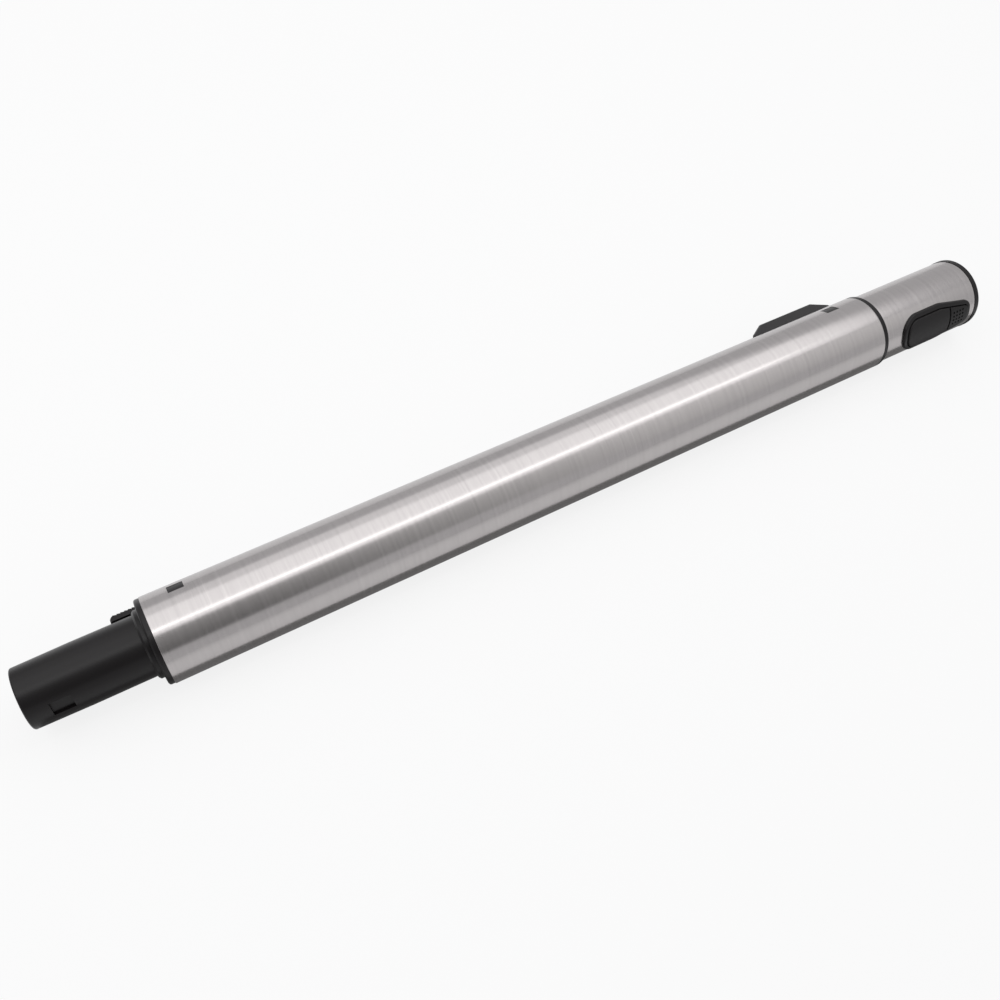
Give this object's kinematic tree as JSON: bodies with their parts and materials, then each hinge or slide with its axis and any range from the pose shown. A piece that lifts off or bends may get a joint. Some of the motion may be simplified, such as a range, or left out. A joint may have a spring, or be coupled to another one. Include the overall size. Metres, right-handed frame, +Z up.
{
  "type": "telescopic vacuum wand",
  "caption": "Telescopic vacuum cleaner wand: brushed steel tubes that slide and lock, black spigot with a nozzle latch, thumb slider, and hose socket with a release rocker.",
  "frame": {"origin": "on the wand's axis, at the front face of the collar's hub, where the neck of a nozzle stops", "axes": "+X along the wand towards the hose socket, +Z up as the wand lies on the floor; the floor is one outer tube radius below the origin"},
  "size_m": [0.5951, 0.0581, 0.046],
  "materials": {
    "brushed_stainless": "stainless steel, brushed around the tube",
    "black_plastic": "black moulded plastic, fine satin grain",
    "black_grip": "black moulded plastic, matt at the grips",
    "natural_acetal": "natural acetal, smooth",
    "seal_rubber": "soft black rubber",
    "spring_steel": "drawn spring wire",
    "bright_steel": "ground steel"
  },
  "bodies": {
    "outer_section": {"outer_tube": "brushed_stainless", "spigot_insert": "black_plastic", "collar_ring": "black_plastic", "latch_pin": "bright_steel", "latch_spring": "spring_steel", "upper_bush": "black_plastic", "slider_base": "black_plastic", "slider_cover": "black_plastic", "slider_spring": "spring_steel"},
    "inner_section": {"inner_tube": "brushed_stainless", "glide_sleeve": "natural_acetal", "seal_ring": "seal_rubber", "socket_liner": "black_plastic", "rocker_bezel": "black_plastic", "rocker_pin": "bright_steel", "rocker_spring": "spring_steel"},
    "thumb_slide": {"length_slider": "black_grip"},
    "bolt": {"lock_bolt": "bright_steel", "lock_cross_pin": "bright_steel"},
    "latch_lever": {"nozzle_latch": "black_grip"},
    "rocker": {"release_rocker": "black_grip"}
  },
  "joints": [
    {"name": "tube_extend", "type": "slide", "parent": "outer_section", "child": "inner_section", "axis": [1, 0, 0], "range_m": [0, 0.324]},
    {"name": "slider_push", "type": "slide", "parent": "outer_section", "child": "thumb_slide", "axis": [1, 0, 0], "range_m": [0, 0.006], "stiffness_N_per_m": 400, "springref_m": -0.004, "deforming": ["slider_spring"]},
    {"name": "bolt_lift", "type": "slide", "parent": "outer_section", "child": "bolt", "axis": [0, 0.9309, -0.3653], "range_m": [0, 0.0018]},
    {"name": "latch_press", "type": "hinge", "parent": "outer_section", "child": "latch_lever", "pos_m": [0.019, 0.01666, -0.00654], "axis": [0, 0.3653, 0.9309], "range_deg": [0, 3.5], "stiffness_Nm_per_rad": 0.5, "springref_deg": -2.86, "deforming": ["latch_spring"]},
    {"name": "rocker_press", "type": "hinge", "parent": "inner_section", "child": "rocker", "pos_m": [0.5051, -0.01852, 0.00727], "axis": [0, 0.3653, 0.9309], "range_deg": [0, 6], "stiffness_Nm_per_rad": 0.5, "springref_deg": -2.86, "deforming": ["rocker_spring"]}
  ],
  "couplings": [
    {"joint": "bolt_lift", "follows": "slider_push", "ratio": 0.3}
  ]
}
